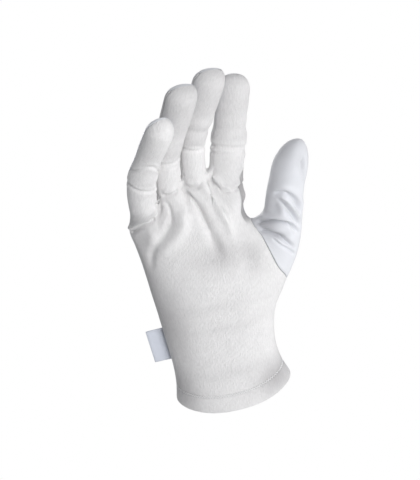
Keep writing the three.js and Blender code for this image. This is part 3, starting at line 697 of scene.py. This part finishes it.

# Painted shade on the cloth, on the palm side only but for the stitch line and the strip
pad = PAD_SHADE * smooth(skin_share, 0.24, 0.34) + TIP_SHADE * smooth(skin_share, 0.6, 0.9)
painted_shade = pad * ((skin_finger > 0) & (skin_finger < THUMB["number"]))
painted_shade += on_thumb * (THUMB_SIDE_SHADE * smooth(-np.cos(skin_turn), 0.1, 0.8)
                    + THUMB_TIP_SHADE * smooth(skin_share, 0.6, 0.95))
for _, place, x, z, grey, across, along in PAINTED_SHADES:
    painted_shade += grey * spot(skin, x, z, across, along) * (on_hand if place == "hand" else on_thumb)
painted_shade *= smooth(-normals[:, 1], -0.7, -0.25)
painted_shade += HEM_STITCH_SHADE * stitch_line + STRIP_SHADE * strip
seam_shade = np.where(on_hand | on_thumb, SEAM_SHADE * (1 - smooth(skin[:, 2], 140, 154)),
                     TIP_SEAM_SHADE * smooth(skin_share, 0.3, 0.8))


def in_scene(name, data):
    made = bpy.data.objects.new(name, data)
    bpy.context.scene.collection.objects.link(made)
    return made


def add_wall(piece, thick):
    wall = piece.modifiers.new("wall", "SOLIDIFY")
    wall.thickness = thick * MM
    wall.offset = -1


def mesh_object(name, points, faces, cloth=None, painted_shade=None):
    mesh = bpy.data.meshes.new(name)
    mesh.from_pydata([tuple(p) for p in points * MM], [], [tuple(int(i) for i in f) for f in faces])
    if cloth is not None:
        layer = mesh.uv_layers.new(name="cloth")
        layer.data.foreach_set("uv", np.concatenate(cloth).astype(np.float32).ravel())
    # painted shade, kept on each point for the cloth's material
    if painted_shade is not None:
        grey = mesh.attributes.new("painted_shade", "FLOAT", "POINT")
        grey.data.foreach_set("value", painted_shade.astype(np.float32))
    mesh.polygons.foreach_set("use_smooth", np.ones(len(mesh.polygons), bool))
    mesh.update()
    return in_scene(name, mesh)


def sew(piece, name):
    """One panel of cloth, rolled in along its seams, with its wall turned inwards."""
    quads = np.concatenate([p["quads"] for p in patches if p["piece"] == piece])
    cloth = np.concatenate([p["quad_cloth"] for p in patches if p["piece"] == piece])
    keep = np.array([len(set(quad)) for quad in quads.tolist()]) >= 3
    quads, cloth = quads[keep], cloth[keep]
    edges = {}
    for quad in quads.tolist():
        for a, b in zip(quad, quad[1:] + quad[:1]):
            if a != b:
                if (b, a) in edges:
                    del edges[(b, a)]
                else:
                    edges[(a, b)] = True
    used, local = np.unique(quads, return_inverse=True)
    local = local.reshape(quads.shape)
    where = {int(v): i for i, v in enumerate(used)}
    points = skin[used].copy()
    ways = np.zeros_like(points)
    for a, b in edges:
        way = unit(skin[b] - skin[a])
        for v in (a, b):
            ways[where[v]] += unit(np.cross(normals[v], way))
    rim = np.linalg.norm(ways, axis=1) > 0
    rolled = rim * (1 - smooth(skin_share[used], 0.95, 0.995))
    points -= normals[used] * SEAM_DEPTH * rolled[:, None]
    faces, loops = [], []
    for face, corner in zip(local.tolist(), cloth):
        kept = [i for i in range(4) if face[i] != face[i - 1]]
        faces.append([face[i] for i in kept])
        loops.append(corner[kept])
    # painted shade of the cloth, darker still along the rolled-in seams
    made = mesh_object(name, points, faces, loops, np.clip(painted_shade[used] + seam_shade[used] * rolled, 0, 1))
    add_wall(made, CLOTH)
    return made


# Inner layer of the hem, from the turned edge to the stitch line: height and inset round its section
HEM_PROFILE = [(1.4, 1.3), (1.0, 1.6), (1.1, 2.15), (2.0, 2.35), (5.0, 2.4), (9.0, 2.35), (11.6, 2.3),
               (12.3, 2.1), (12.4, 1.7), (12.0, 1.3), (9.0, 1.25), (5.0, 1.25)]
HEM_RUN, HEM_GIRTH = 270, 26   # how much of the knit's pattern runs along it and round its section
INSIDE_OUT = [0, 3, 2, 1]
hem_turns = np.concatenate([front_turns, -back_turns[::-1][1:-1]])
hem_grid = np.array([body_skin(height, hem_turns, inset) for height, inset in HEM_PROFILE])
rows, columns = hem_grid.shape[:2]
ids = np.pad(np.arange(rows * columns).reshape(rows, columns), ((0, 1), (0, 1)), "wrap")
hem_flat = np.stack(np.meshgrid(np.linspace(0, HEM_RUN, columns + 1),
                                np.linspace(0, HEM_GIRTH, rows + 1)), -1)
hem = mesh_object("hem_cloth", hem_grid.reshape(-1, 3), corners(ids)[:, INSIDE_OUT],
                  corners(hem_flat)[:, INSIDE_OUT])

# Side label: a bare folded ribbon whose ends are caught in the outer side seam. Its profile gives how
# far out and to the side each point lies.
LABEL_LENGTH, LABEL_LOW, RIBBON_WALL = 26.5, 33.5, 0.25
LABEL_WAVE, LABEL_STEPS = 0.5, 25
LABEL_SIDE = [(-0.6, 0.32), (3, 0.36), (7, 0.5), (10.5, 0.62), (12.2, 0.55), (12.85, 0.25)]
label_profile = LABEL_SIDE + [(13.0, 0.0)] + [(out, -side) for out, side in LABEL_SIDE[::-1]]
label_low, label_high = (body_skin(h, math.pi) for h in (LABEL_LOW, LABEL_LOW + LABEL_LENGTH))
label_grid = np.array([[label_low + (label_high - label_low) * t
                        + np.array([-out, side + LABEL_WAVE * math.sin(2.2 * t + out / 6), 0])
                        for out, side in label_profile] for t in np.linspace(0, 1, LABEL_STEPS)])
ids = np.arange(label_grid[..., 0].size).reshape(label_grid.shape[:2])
label = mesh_object("ribbon_label", label_grid.reshape(-1, 3), corners(ids),
                    corners(flat_pattern(label_grid)))
add_wall(label, RIBBON_WALL)


def feed(tree, node, inputs):
    """Set each input of a node to a value, or link it to another node's output."""
    for key, value in inputs.items():
        if isinstance(value, bpy.types.NodeSocket):
            tree.links.new(value, node.inputs[key])
        else:
            node.inputs[key].default_value = value


def add_node(tree, kind, inputs, **settings):
    node = tree.nodes.new(kind)
    for key, value in settings.items():
        setattr(node, key, value)
    feed(tree, node, inputs)
    return node


def math_node(tree, operation, *values):
    return add_node(tree, "ShaderNodeMath", dict(enumerate(values)), operation=operation).outputs[0]


def group(name, kind, inputs, outputs):
    """A node group, what is given to it, and its end."""
    tree = bpy.data.node_groups.new(name, kind)
    for way, rows in (("INPUT", inputs), ("OUTPUT", outputs)):
        for title, socket, *value in rows:
            made = tree.interface.new_socket(name=title, in_out=way, socket_type="NodeSocket" + socket)
            if value:
                made.default_value = value[0]
    return tree, tree.nodes.new("NodeGroupInput").outputs, tree.nodes.new("NodeGroupOutput")


# Stitches
def zigzag_tree():
    """A zigzag row of thread along a path; the path's side attribute says which way is across."""
    tree, given, stop = group("zigzag_stitches", "GeometryNodeTree", [
        ("Path", "Geometry"), ("Stitch length", "Float", 0.001), ("Stitch width", "Float", 0.002),
        ("Thread radius", "Float", 0.0002), ("Thread", "Material")], [("Stitches", "Geometry")])
    add, calc = (partial(maker, tree) for maker in (add_node, math_node))
    curve = add("GeometryNodeMeshToCurve", {"Mesh": given["Path"]})
    points = add("GeometryNodeResampleCurve",
                 {"Curve": curve.outputs["Curve"], "Length": given["Stitch length"]}, mode="LENGTH")
    odd = calc("MODULO", add("GeometryNodeInputIndex", {}).outputs[0], 2)
    reach = calc("MULTIPLY", calc("SUBTRACT", odd, 0.5), given["Stitch width"])
    side = add("GeometryNodeInputNamedAttribute", {"Name": "side"}, data_type="FLOAT_VECTOR")
    offset = add("ShaderNodeVectorMath", {0: side.outputs["Attribute"], "Scale": reach}, operation="SCALE")
    move = add("GeometryNodeSetPosition", {"Geometry": points.outputs["Curve"], "Offset": offset.outputs[0]})
    section = add("GeometryNodeCurvePrimitiveCircle", {"Resolution": 6, "Radius": given["Thread radius"]})
    sweep = add("GeometryNodeCurveToMesh", {
        "Fill Caps": True, "Curve": move.outputs["Geometry"], "Profile Curve": section.outputs["Curve"]})
    realize = add("GeometryNodeRealizeInstances", {"Geometry": sweep.outputs["Mesh"]})
    finish = add("GeometryNodeSetMaterial",
                 {"Geometry": realize.outputs["Geometry"], "Material": given["Thread"]})
    feed(tree, stop, {0: finish.outputs["Geometry"]})
    return tree


def stitch_row(name, path, side, length, width, radius, thread):
    mesh = bpy.data.meshes.new(name + "_path")
    mesh.from_pydata([tuple(p) for p in path * MM], [(i, i + 1) for i in range(len(path) - 1)], [])
    attribute = mesh.attributes.new("side", "FLOAT_VECTOR", "POINT")
    attribute.data.foreach_set("vector", side.astype(np.float32).ravel())
    carrier = in_scene(name + "_path", mesh)
    tree = zigzag_tree()
    modifier = carrier.modifiers.new("stitches", "NODES")
    modifier.node_group = tree
    sockets = {item.name: item.identifier for item in tree.interface.items_tree}
    modifier[sockets["Stitch length"]] = length * MM
    modifier[sockets["Stitch width"]] = width * MM
    modifier[sockets["Thread radius"]] = radius * MM
    modifier[sockets["Thread"]] = thread
    bpy.context.view_layer.update()
    evaluated = carrier.evaluated_get(bpy.context.evaluated_depsgraph_get())
    made = in_scene(name, bpy.data.meshes.new_from_object(evaluated))
    bpy.data.objects.remove(carrier)
    return made


# Finishes
def noise(tree, vector, scale, detail, roughness=0.5):
    return add_node(tree, "ShaderNodeTexNoise", {
        "Vector": vector, "Scale": scale, "Detail": detail, "Roughness": roughness}).outputs[0]


def knit_group():
    """Fine vertical wales with the short loops of each course."""
    tree, given, stop = group("knit_wales", "ShaderNodeTree", [
        ("Cloth", "Vector"), ("Wale width", "Float", 0.9), ("Course height", "Float", 0.7)],
        [("Height", "Float")])
    add, calc = (partial(maker, tree) for maker in (add_node, math_node))
    x, y, _ = add("ShaderNodeSeparateXYZ", {0: given["Cloth"]}).outputs
    drift = calc("MULTIPLY", noise(tree, given["Cloth"], 0.12, 2), 1.6)
    wale = calc("DIVIDE", calc("ADD", x, drift), given["Wale width"])
    ridge = calc("ABSOLUTE", calc("SINE", calc("MULTIPLY", wale, math.pi)))
    course = calc("DIVIDE", y, given["Course height"])
    leg = calc("ABSOLUTE", calc("SUBTRACT", calc("FRACT", wale), 0.5))
    loops = calc("MULTIPLY", calc("ADD", course, leg), 2 * math.pi)
    bow = calc("MULTIPLY", calc("SINE", loops), 0.15)
    feed(tree, stop, {"Height": calc("ADD", calc("MULTIPLY", ridge, 0.7), bow)})
    return tree


def nap_group():
    """The brushed surface: long soft streaks along the wales, fine fluff and broad mottling."""
    tree, given, stop = group("cotton_nap", "ShaderNodeTree", [
        ("Cloth", "Vector"), ("Streak", "Float", 0.5), ("Fluff", "Float", 0.5)],
        [("Height", "Float"), ("Shade", "Float")])
    add, calc = (partial(maker, tree) for maker in (add_node, math_node))
    squeeze = add("ShaderNodeMapping", {"Vector": given["Cloth"], "Scale": (1.0, 0.28, 1.0)})

    def part(grain, much):
        return calc("MULTIPLY", calc("SUBTRACT", grain, 0.5), much)

    streak = part(noise(tree, squeeze.outputs[0], 1.0, 5, 0.62), given["Streak"])
    fine = part(noise(tree, given["Cloth"], 1.5, 4, 0.7), given["Fluff"])
    broad = part(noise(tree, given["Cloth"], 0.09, 3), 0.3)
    shade = calc("ADD", calc("ADD", streak, broad), calc("MULTIPLY", fine, 0.6))
    feed(tree, stop, {"Height": calc("ADD", streak, fine), "Shade": shade})
    return tree


knit_wales, cotton_nap = knit_group(), nap_group()


def cloth_material(name, light, dark, wale, course, knit_relief, streak, fluff, nap_relief,
                   roughness, sheen):
    material = bpy.data.materials.new(name)
    material.use_nodes = True
    tree = material.node_tree
    add = partial(add_node, tree)
    cloth = add("ShaderNodeUVMap", {}, uv_map="cloth").outputs[0]
    knit = add("ShaderNodeGroup", {}, node_tree=knit_wales)
    feed(tree, knit, {"Cloth": cloth, "Wale width": wale, "Course height": course})
    nap = add("ShaderNodeGroup", {}, node_tree=cotton_nap)
    feed(tree, nap, {"Cloth": cloth, "Streak": streak, "Fluff": fluff})
    shade = add("ShaderNodeMapRange", {"Value": nap.outputs["Shade"], "From Min": -0.3, "From Max": 0.3})
    colour = add("ShaderNodeMix", {
        "Factor": shade.outputs[0], "A": (*dark, 1), "B": (*light, 1)}, data_type="RGBA")
    # the painted shade stored on the mesh greys the cloth's colour
    painted_shade = add("ShaderNodeAttribute", {}, attribute_name="painted_shade")
    greyed = add("ShaderNodeMix", {
        "Factor": painted_shade.outputs["Fac"], "A": colour.outputs["Result"], "B": SHADE_GREY},
        data_type="RGBA", blend_type="MULTIPLY")
    wales = add("ShaderNodeBump", {"Distance": knit_relief * MM, "Height": knit.outputs["Height"]})
    brushed = add("ShaderNodeBump", {
        "Distance": nap_relief * MM, "Height": nap.outputs["Height"], "Normal": wales.outputs[0]})
    feed(tree, tree.nodes["Principled BSDF"], {
        "Roughness": roughness, "Sheen Weight": sheen, "Sheen Roughness": 0.6, "Specular IOR Level": 0.2,
        "Base Color": greyed.outputs["Result"], "Normal": brushed.outputs[0]})
    return material


cotton = cloth_material("white_cotton_knit", (0.96, 0.95, 0.95), (0.78, 0.77, 0.77), wale=0.9, course=0.75,
                        knit_relief=0.2, streak=0.9, fluff=0.7, nap_relief=0.5, roughness=0.95, sheen=0.15)
# smooth knit of the thumb and the back: its bluish tint is painted cool light from the thumb side
smooth_cotton = cloth_material("smooth_cotton_knit", (0.79, 0.8, 0.835), (0.72, 0.73, 0.765), wale=0.8,
                               course=0.7, knit_relief=0.05, streak=0.3, fluff=0.25, nap_relief=0.14,
                               roughness=0.45, sheen=0.4)
ribbon = cloth_material("label_ribbon", (0.74, 0.77, 0.85), (0.68, 0.71, 0.79), wale=0.35, course=0.35,
                        knit_relief=0.06, streak=0.2, fluff=0.2, nap_relief=0.05, roughness=0.55, sheen=0.1)
thread = cloth_material("sewing_thread", (0.97, 0.97, 0.97), (0.92, 0.92, 0.92), wale=0.2, course=0.3,
                        knit_relief=0.02, streak=0.2, fluff=0.2, nap_relief=0.02, roughness=0.6, sheen=0.1)

finger_names = [f["name"] for f in FINGERS]
PANELS = [
    dict(piece="palm_panel", name="palm_cloth", finish=cotton, slot="cotton_knit",
         nodes=["palm_panel"] + [n + "_front" for n in finger_names]),
    dict(piece="back_panel", name="back_cloth", finish=smooth_cotton, slot="cotton_knit",
         nodes=["back_panel"] + [n + "_back" for n in finger_names]),
    dict(piece="thumb", name="thumb_cloth", finish=smooth_cotton, slot="smooth_knit", nodes=["thumb"]),
]
PANELS += [dict(piece="fourchette_" + n, name=n + "_strip", finish=cotton, slot="cotton_knit",
                nodes=["fourchette_" + n]) for n in finger_names[:3]]
for row in PANELS:
    panel = sew(row["piece"], row["name"])
    panel.data.materials.append(row["finish"])
    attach(panel, "root")
    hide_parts(*row["nodes"])
hem.data.materials.append(cotton)
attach(hem, "root")
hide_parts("hem")
label.data.materials.append(ribbon)
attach(label, "root")
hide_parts("side_label")

# Row of zigzag stitches that holds the hem
stitch_turns = np.concatenate([np.linspace(math.pi, 0.0, 180), -np.linspace(0.0, math.pi, 180)[1:]])
stitch_path = body_skin(HEM_HEIGHT - STITCH_DROP, stitch_turns, HEM_GROOVE - 0.2)
upward = unit(body_skin(HEM_HEIGHT, stitch_turns) - body_skin(HEM_HEIGHT - 2, stitch_turns))
hem_stitches = stitch_row("hem_stitches", stitch_path, upward, STITCH_LENGTH, STITCH_WIDTH,
                          THREAD_RADIUS, thread)
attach(hem_stitches, "root")

# Camera: near, a little above the hand, rolled so that the glove leans to the left
TARGET = Vector((8, -8, 122)) * MM
DISTANCE, ELEVATION, ROLL = 560 * MM, math.radians(18), math.radians(13)
MM_PER_PIXEL, PICTURE_HEIGHT, SENSOR = 0.72, 480, 36
back = Vector((0, -math.cos(ELEVATION), math.sin(ELEVATION)))
right = Vector((1, 0, 0))
up = back.cross(right)
camera_right = right * math.cos(ROLL) - up * math.sin(ROLL)
camera_up = right * math.sin(ROLL) + up * math.cos(ROLL)
camera_data = bpy.data.cameras.new("camera")
camera_data.sensor_width = SENSOR
camera_data.lens = DISTANCE / MM / MM_PER_PIXEL / PICTURE_HEIGHT * SENSOR
camera = in_scene("camera", camera_data)
facing = Matrix((camera_right, camera_up, back)).transposed().to_4x4()
camera.matrix_world = Matrix.Translation(TARGET + back * DISTANCE) @ facing
bpy.context.scene.camera = camera

# Light and floor, in metres and watts
bpy.context.scene.view_settings.view_transform = "Standard"
LIT_PLACE = Vector((0.01, -0.01, 0.13))
WHITE, SKY = (1, 1, 1, 1), (0.95, 0.97, 1, 1)
SKY_STRENGTH = 0.34
FLOOR_HALF, FLOOR_LEVEL = 3, -0.3
for name, place, size, power in [("key", (0.57, -1.11, 0.33), 0.6, 9.4),
                                 ("side", (1.1, -0.35, 0.35), 0.7, 3.2),
                                 ("back fill", (-0.35, 1.2, 0.45), 0.9, 7)]:
    data = bpy.data.lights.new(name, "AREA")
    data.shape = "SQUARE"
    data.size = size
    data.energy = power
    light = in_scene(name, data)
    light.location = place
    light.rotation_euler = (LIT_PLACE - light.location).to_track_quat("-Z", "Y").to_euler()


def seen_as(tree, lighting, seen, output):
    """One shader for the camera's own rays, and another for all that is lit by it."""
    ray = add_node(tree, "ShaderNodeLightPath", {}).outputs["Is Camera Ray"]
    choose = add_node(tree, "ShaderNodeMixShader", {0: ray, 1: lighting.outputs[0], 2: seen.outputs[0]})
    feed(tree, output, {0: choose.outputs[0]})


world = bpy.data.worlds.new("studio")
bpy.context.scene.world = world
world.use_nodes = True
sky = world.node_tree
sky.nodes.clear()
seen_as(sky, add_node(sky, "ShaderNodeBackground", {"Color": SKY, "Strength": SKY_STRENGTH}),
        add_node(sky, "ShaderNodeBackground", {"Color": WHITE}), sky.nodes.new("ShaderNodeOutputWorld"))

floor_mesh = bpy.data.meshes.new("floor")
floor_mesh.from_pydata([(x * FLOOR_HALF, y * FLOOR_HALF, FLOOR_LEVEL)
                        for x, y in ((-1, -1), (1, -1), (1, 1), (-1, 1))], [], [(0, 1, 2, 3)])
floor = in_scene("floor", floor_mesh)
paper = bpy.data.materials.new("white_paper")
paper.use_nodes = True
sheet = paper.node_tree
matt = sheet.nodes["Principled BSDF"]
feed(sheet, matt, {"Base Color": (0.8, 0.8, 0.8, 1), "Roughness": 1})
seen_as(sheet, matt, add_node(sheet, "ShaderNodeEmission", {"Strength": 1.0}),
        sheet.nodes["Material Output"])
floor_mesh.materials.append(paper)
